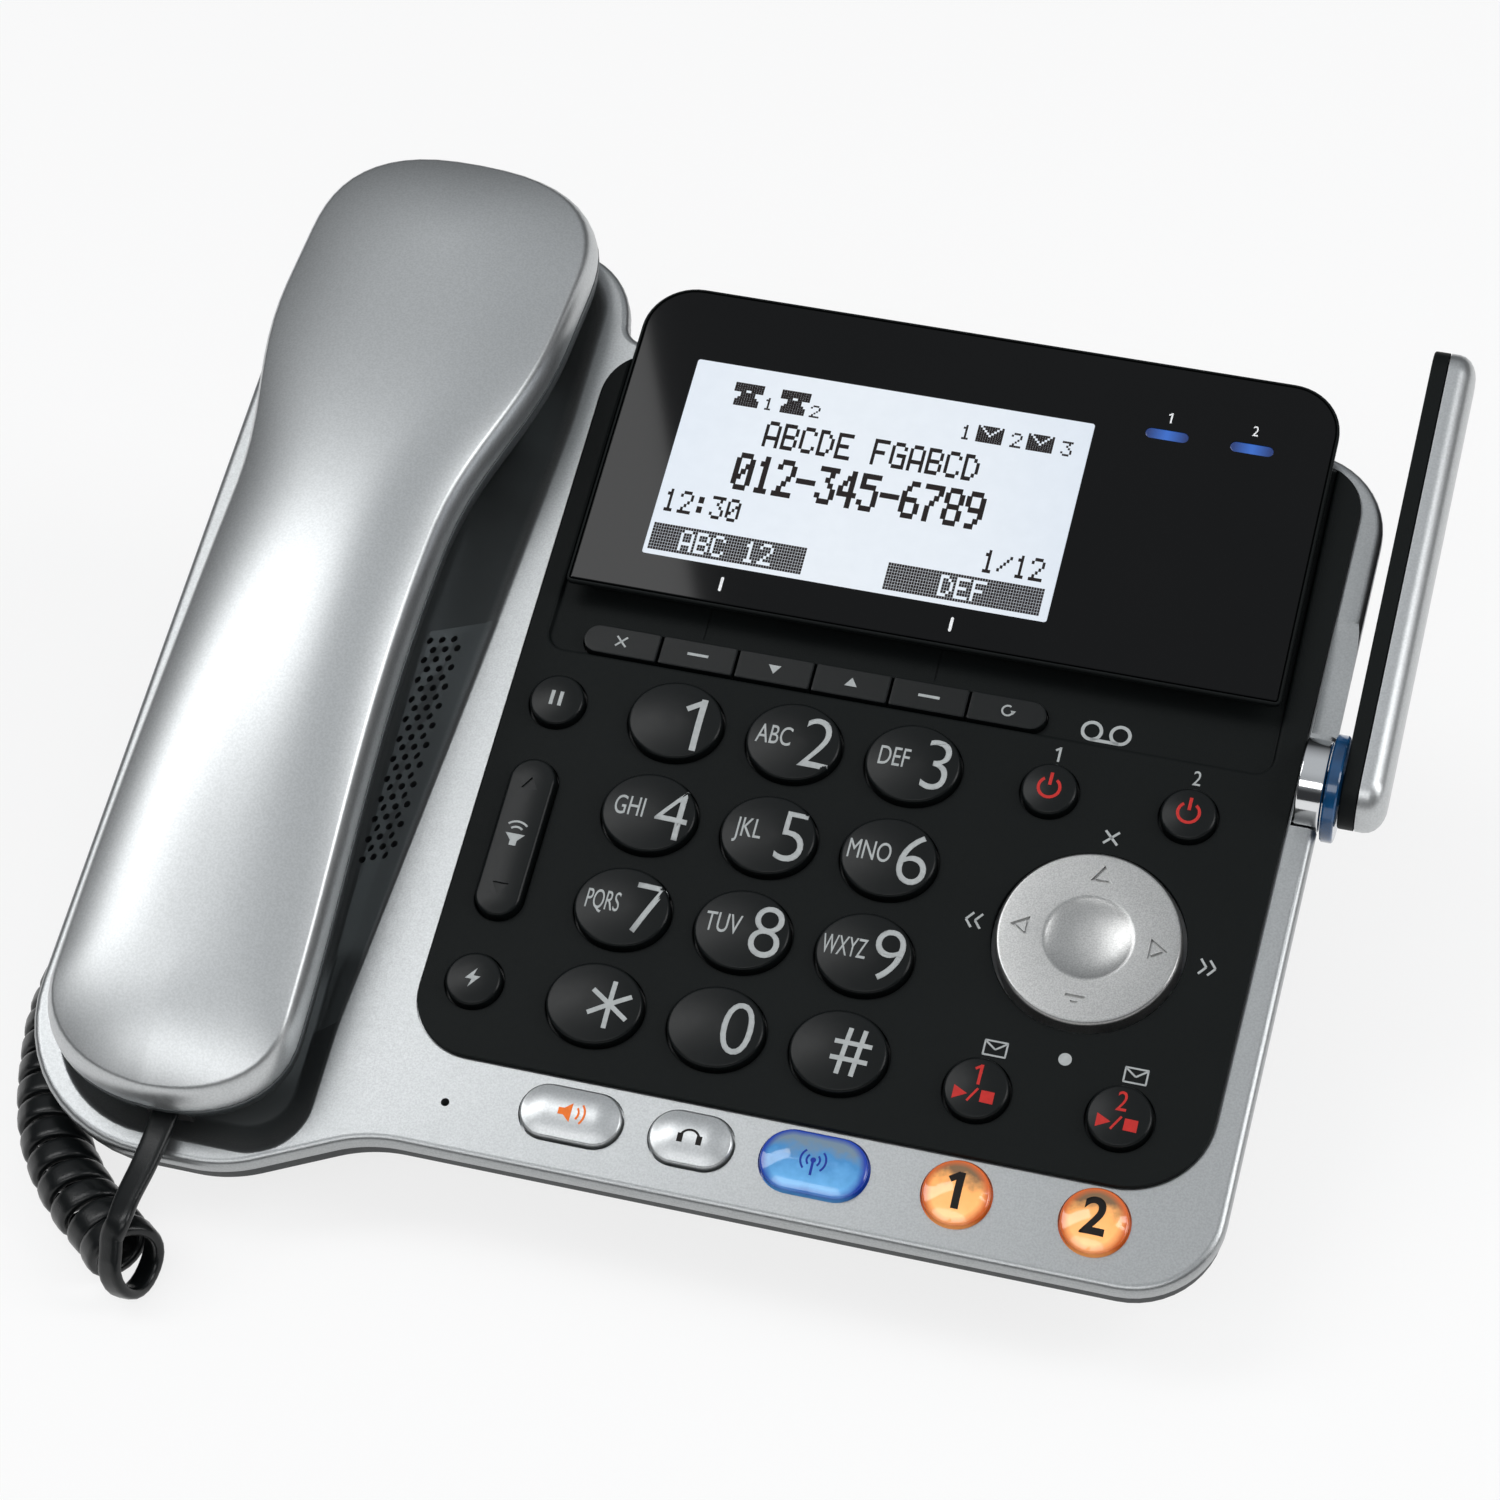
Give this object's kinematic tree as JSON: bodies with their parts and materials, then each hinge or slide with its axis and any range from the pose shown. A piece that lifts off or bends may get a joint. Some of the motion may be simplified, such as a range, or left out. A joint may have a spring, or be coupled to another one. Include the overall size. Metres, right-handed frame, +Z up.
{
  "type": "desk telephone",
  "caption": "Desk telephone with a corded handset in a side bay, sloping keypad, tilting display panel, navigation disc and folding aerial on a wedge stand.",
  "frame": {"origin": "on the table, under the middle of the telephone without its free cord", "axes": "+X towards the aerial side, +Y from the front keys to the rear, +Z up"},
  "size_m": [0.2652, 0.2326, 0.1216],
  "materials": {
    "silver_paint": "metallic silver paint, fine sparkle",
    "charcoal_plastic": "fine satin",
    "key_black": "satin",
    "dark_grey_plastic": "fine texture",
    "black_gloss": "polished, clear over the screen",
    "screen": "backlit panel",
    "chrome_plate": "polished",
    "blue_clear": "translucent, polished",
    "orange_clear": "translucent, polished",
    "black_rubber": "smooth",
    "board": "circuit board",
    "silicone": "moulded silicone",
    "steel": "turned"
  },
  "bodies": {
    "base": {"top_shell": "silver_paint", "bottom_shell": "dark_grey_plastic", "desk_stand": "dark_grey_plastic", "foot_front_left": "black_rubber", "foot_front_right": "black_rubber", "foot_rear_left": "black_rubber", "foot_rear_right": "black_rubber", "fascia": "charcoal_plastic", "circuit_board": "board", "key_mat": "silicone", "loudspeaker": "dark_grey_plastic", "line_jack_block": "dark_grey_plastic", "aerial_hub": "chrome_plate", "cord_coil": "black_rubber", "cord_lead_handset": "black_rubber", "cord_lead_base": "black_rubber", "cord_plug_base": "black_rubber"},
    "key_1": {"key_1": "key_black"},
    "key_2": {"key_2": "key_black"},
    "key_3": {"key_3": "key_black"},
    "key_4": {"key_4": "key_black"},
    "key_5": {"key_5": "key_black"},
    "key_6": {"key_6": "key_black"},
    "key_7": {"key_7": "key_black"},
    "key_8": {"key_8": "key_black"},
    "key_9": {"key_9": "key_black"},
    "key_star": {"key_star": "key_black"},
    "key_0": {"key_0": "key_black"},
    "key_hash": {"key_hash": "key_black"},
    "key_hold": {"key_hold": "key_black"},
    "key_flash": {"key_flash": "key_black"},
    "key_power_1": {"key_power_1": "key_black"},
    "key_power_2": {"key_power_2": "key_black"},
    "key_mailbox_1": {"key_mailbox_1": "key_black"},
    "key_mailbox_2": {"key_mailbox_2": "key_black"},
    "key_speaker": {"key_speaker": "silver_paint"},
    "key_headset": {"key_headset": "silver_paint"},
    "key_mobile": {"key_mobile": "blue_clear"},
    "key_line_1": {"key_line_1": "orange_clear"},
    "key_line_2": {"key_line_2": "orange_clear"},
    "soft_key_1": {"soft_key_1": "key_black"},
    "soft_key_2": {"soft_key_2": "key_black"},
    "soft_key_3": {"soft_key_3": "key_black"},
    "soft_key_4": {"soft_key_4": "key_black"},
    "soft_key_5": {"soft_key_5": "key_black"},
    "soft_key_6": {"soft_key_6": "key_black"},
    "volume_rocker": {"volume_rocker": "key_black"},
    "navigation_pivot": {"navigation_pivot": "steel"},
    "navigation_disc": {"navigation_disc": "silver_paint"},
    "display": {"display_frame": "charcoal_plastic", "display_lens": "black_gloss", "screen_module": "screen"},
    "aerial": {"aerial_ring": "blue_clear", "aerial_inner_half": "charcoal_plastic", "aerial_outer_half": "silver_paint"},
    "handset": {"handset_back": "silver_paint", "handset_face": "silver_paint", "cord_plug_handset": "black_rubber"},
    "hook_plunger": {"hook_plunger": "key_black"}
  },
  "joints": [
    {"name": "key_1_press", "type": "slide", "parent": "base", "child": "key_1", "axis": [0, 0.3867, -0.9222], "range_m": [0, 0.001], "stiffness_N_per_m": 300, "springref_m": -0.001},
    {"name": "key_2_press", "type": "slide", "parent": "base", "child": "key_2", "axis": [0, 0.3867, -0.9222], "range_m": [0, 0.001], "stiffness_N_per_m": 300, "springref_m": -0.001},
    {"name": "key_3_press", "type": "slide", "parent": "base", "child": "key_3", "axis": [0, 0.3867, -0.9222], "range_m": [0, 0.001], "stiffness_N_per_m": 300, "springref_m": -0.001},
    {"name": "key_4_press", "type": "slide", "parent": "base", "child": "key_4", "axis": [0, 0.3867, -0.9222], "range_m": [0, 0.001], "stiffness_N_per_m": 300, "springref_m": -0.001},
    {"name": "key_5_press", "type": "slide", "parent": "base", "child": "key_5", "axis": [0, 0.3867, -0.9222], "range_m": [0, 0.001], "stiffness_N_per_m": 300, "springref_m": -0.001},
    {"name": "key_6_press", "type": "slide", "parent": "base", "child": "key_6", "axis": [0, 0.3867, -0.9222], "range_m": [0, 0.001], "stiffness_N_per_m": 300, "springref_m": -0.001},
    {"name": "key_7_press", "type": "slide", "parent": "base", "child": "key_7", "axis": [0, 0.3867, -0.9222], "range_m": [0, 0.001], "stiffness_N_per_m": 300, "springref_m": -0.001},
    {"name": "key_8_press", "type": "slide", "parent": "base", "child": "key_8", "axis": [0, 0.3867, -0.9222], "range_m": [0, 0.001], "stiffness_N_per_m": 300, "springref_m": -0.001},
    {"name": "key_9_press", "type": "slide", "parent": "base", "child": "key_9", "axis": [0, 0.3867, -0.9222], "range_m": [0, 0.001], "stiffness_N_per_m": 300, "springref_m": -0.001},
    {"name": "key_star_press", "type": "slide", "parent": "base", "child": "key_star", "axis": [0, 0.3867, -0.9222], "range_m": [0, 0.001], "stiffness_N_per_m": 300, "springref_m": -0.001},
    {"name": "key_0_press", "type": "slide", "parent": "base", "child": "key_0", "axis": [0, 0.3867, -0.9222], "range_m": [0, 0.001], "stiffness_N_per_m": 300, "springref_m": -0.001},
    {"name": "key_hash_press", "type": "slide", "parent": "base", "child": "key_hash", "axis": [0, 0.3867, -0.9222], "range_m": [0, 0.001], "stiffness_N_per_m": 300, "springref_m": -0.001},
    {"name": "key_hold_press", "type": "slide", "parent": "base", "child": "key_hold", "axis": [0, 0.3867, -0.9222], "range_m": [0, 0.001], "stiffness_N_per_m": 300, "springref_m": -0.001},
    {"name": "key_flash_press", "type": "slide", "parent": "base", "child": "key_flash", "axis": [0, 0.3867, -0.9222], "range_m": [0, 0.001], "stiffness_N_per_m": 300, "springref_m": -0.001},
    {"name": "key_power_1_press", "type": "slide", "parent": "base", "child": "key_power_1", "axis": [0, 0.3867, -0.9222], "range_m": [0, 0.001], "stiffness_N_per_m": 300, "springref_m": -0.001},
    {"name": "key_power_2_press", "type": "slide", "parent": "base", "child": "key_power_2", "axis": [0, 0.3867, -0.9222], "range_m": [0, 0.001], "stiffness_N_per_m": 300, "springref_m": -0.001},
    {"name": "key_mailbox_1_press", "type": "slide", "parent": "base", "child": "key_mailbox_1", "axis": [0, 0.3867, -0.9222], "range_m": [0, 0.001], "stiffness_N_per_m": 300, "springref_m": -0.001},
    {"name": "key_mailbox_2_press", "type": "slide", "parent": "base", "child": "key_mailbox_2", "axis": [0, 0.3867, -0.9222], "range_m": [0, 0.001], "stiffness_N_per_m": 300, "springref_m": -0.001},
    {"name": "key_speaker_press", "type": "slide", "parent": "base", "child": "key_speaker", "axis": [0, 0.3867, -0.9222], "range_m": [0, 0.001], "stiffness_N_per_m": 300, "springref_m": -0.001},
    {"name": "key_headset_press", "type": "slide", "parent": "base", "child": "key_headset", "axis": [0, 0.3867, -0.9222], "range_m": [0, 0.001], "stiffness_N_per_m": 300, "springref_m": -0.001},
    {"name": "key_mobile_press", "type": "slide", "parent": "base", "child": "key_mobile", "axis": [0, 0.3867, -0.9222], "range_m": [0, 0.001], "stiffness_N_per_m": 300, "springref_m": -0.001},
    {"name": "key_line_1_press", "type": "slide", "parent": "base", "child": "key_line_1", "axis": [0, 0.3867, -0.9222], "range_m": [0, 0.001], "stiffness_N_per_m": 300, "springref_m": -0.001},
    {"name": "key_line_2_press", "type": "slide", "parent": "base", "child": "key_line_2", "axis": [0, 0.3867, -0.9222], "range_m": [0, 0.001], "stiffness_N_per_m": 300, "springref_m": -0.001},
    {"name": "soft_key_1_press", "type": "slide", "parent": "base", "child": "soft_key_1", "axis": [0, 0.3867, -0.9222], "range_m": [0, 0.001], "stiffness_N_per_m": 300, "springref_m": -0.001},
    {"name": "soft_key_2_press", "type": "slide", "parent": "base", "child": "soft_key_2", "axis": [0, 0.3867, -0.9222], "range_m": [0, 0.001], "stiffness_N_per_m": 300, "springref_m": -0.001},
    {"name": "soft_key_3_press", "type": "slide", "parent": "base", "child": "soft_key_3", "axis": [0, 0.3867, -0.9222], "range_m": [0, 0.001], "stiffness_N_per_m": 300, "springref_m": -0.001},
    {"name": "soft_key_4_press", "type": "slide", "parent": "base", "child": "soft_key_4", "axis": [0, 0.3867, -0.9222], "range_m": [0, 0.001], "stiffness_N_per_m": 300, "springref_m": -0.001},
    {"name": "soft_key_5_press", "type": "slide", "parent": "base", "child": "soft_key_5", "axis": [0, 0.3867, -0.9222], "range_m": [0, 0.001], "stiffness_N_per_m": 300, "springref_m": -0.001},
    {"name": "soft_key_6_press", "type": "slide", "parent": "base", "child": "soft_key_6", "axis": [0, 0.3867, -0.9222], "range_m": [0, 0.001], "stiffness_N_per_m": 300, "springref_m": -0.001},
    {"name": "volume_rocker_tip", "type": "hinge", "parent": "base", "child": "volume_rocker", "pos_m": [-0.04054, -0.03037, 0.04908], "axis": [1, 0, 0], "range_deg": [-2.5, 2.5], "stiffness_Nm_per_rad": 0.05},
    {"name": "navigation_tip_up_down", "type": "hinge", "parent": "base", "child": "navigation_pivot", "pos_m": [0.07595, -0.02805, 0.04691], "axis": [1, 0, 0], "range_deg": [-2, 2], "stiffness_Nm_per_rad": 0.05},
    {"name": "navigation_tip_left_right", "type": "hinge", "parent": "navigation_pivot", "child": "navigation_disc", "pos_m": [0.07595, -0.02805, 0.04691], "axis": [0, 0.9222, 0.3867], "range_deg": [-2, 2], "stiffness_Nm_per_rad": 0.05},
    {"name": "display_tilt", "type": "hinge", "parent": "base", "child": "display", "pos_m": [0.02005, 0.02498, 0.07587], "axis": [1, 0, 0], "range_deg": [0, 40]},
    {"name": "aerial_swing", "type": "hinge", "parent": "base", "child": "aerial", "pos_m": [0.11606, 0.00963, 0.06694], "axis": [1, 0, 0], "range_deg": [0, 90]},
    {"name": "handset_lift", "type": "slide", "parent": "base", "child": "handset", "axis": [0, -0.3867, 0.9222], "range_m": [0, 0.08]},
    {"name": "hook_rise", "type": "slide", "parent": "base", "child": "hook_plunger", "axis": [0, -0.3867, 0.9222], "range_m": [0, 0.0025]}
  ],
  "couplings": [
    {"joint": "hook_rise", "follows": "handset_lift", "ratio": 0.03125}
  ]
}
